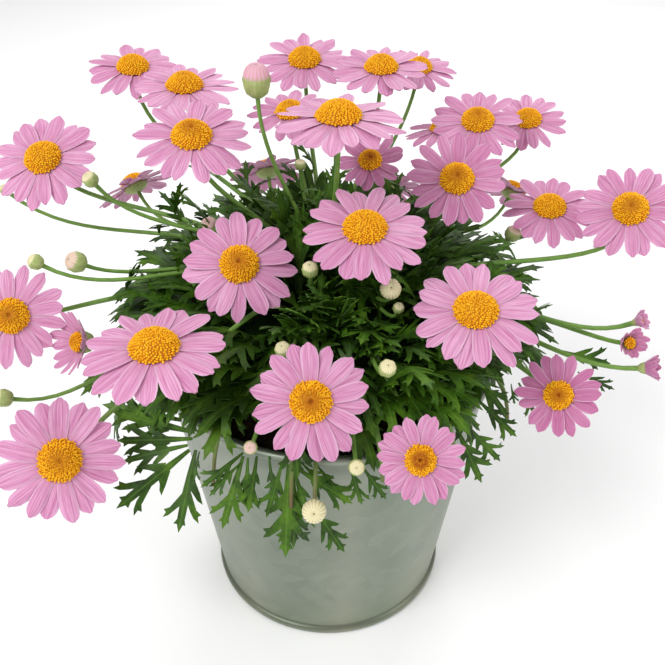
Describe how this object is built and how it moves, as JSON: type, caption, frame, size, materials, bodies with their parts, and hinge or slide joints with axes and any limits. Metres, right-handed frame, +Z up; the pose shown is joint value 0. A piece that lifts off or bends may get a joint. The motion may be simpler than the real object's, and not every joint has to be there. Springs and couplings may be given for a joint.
{
  "type": "potted marguerite daisy",
  "caption": "Bushy pink marguerite daisy with fringed green leaves, open flower heads and buds, growing in a tapered zinc pot that stands on its flat base.",
  "frame": {"origin": "middle of the pot's underside", "axes": "+Z up the pot and the plant; the front that the picture shows faces -Y; +X is to the right of that front"},
  "size_m": [0.3286, 0.2661, 0.2912],
  "materials": {
    "pot_zinc": "galvanised zinc sheet, satin, softly mottled",
    "soil": "dark potting soil, crumbly and matt",
    "foliage": "fresh green leaves, stems and cups, slightly glossy",
    "disc_florets": "packed golden yellow florets, matt",
    "ray_petals": "pink petals with deeper streaks and pale edges, soft satin"
  },
  "bodies": {
    "root": {"pot": "pot_zinc", "soil": "soil", "leafy_shoots": "foliage", "disc_01": "disc_florets", "rays_01": "ray_petals", "disc_02": "disc_florets", "rays_02": "ray_petals", "disc_03": "disc_florets", "rays_03": "ray_petals", "disc_04": "disc_florets", "rays_04": "ray_petals", "disc_05": "disc_florets", "rays_05": "ray_petals", "disc_06": "disc_florets", "rays_06": "ray_petals", "disc_06b": "disc_florets", "rays_06b": "ray_petals", "disc_07": "disc_florets", "rays_07": "ray_petals", "disc_07b": "disc_florets", "rays_07b": "ray_petals", "disc_08": "disc_florets", "rays_08": "ray_petals", "disc_09": "disc_florets", "rays_09_10": "ray_petals", "disc_10": "disc_florets", "disc_11": "disc_florets", "rays_11": "ray_petals", "disc_12": "disc_florets", "rays_12": "ray_petals", "disc_13": "disc_florets", "rays_13": "ray_petals", "disc_14": "disc_florets", "rays_14": "ray_petals", "disc_15": "disc_florets", "rays_15": "ray_petals", "disc_16": "disc_florets", "rays_16": "ray_petals", "disc_17": "disc_florets", "rays_17": "ray_petals", "disc_18": "disc_florets", "rays_18": "ray_petals", "disc_19": "disc_florets", "rays_19": "ray_petals", "disc_20": "disc_florets", "rays_20": "ray_petals", "disc_21": "disc_florets", "rays_21": "ray_petals", "disc_22": "disc_florets", "rays_22": "ray_petals", "disc_23": "disc_florets", "rays_23": "ray_petals", "disc_24": "disc_florets", "rays_24": "ray_petals", "disc_25": "disc_florets", "rays_25": "ray_petals", "disc_26": "disc_florets", "rays_26": "ray_petals", "disc_27": "disc_florets", "rays_27": "ray_petals"}
  },
  "joints": []
}
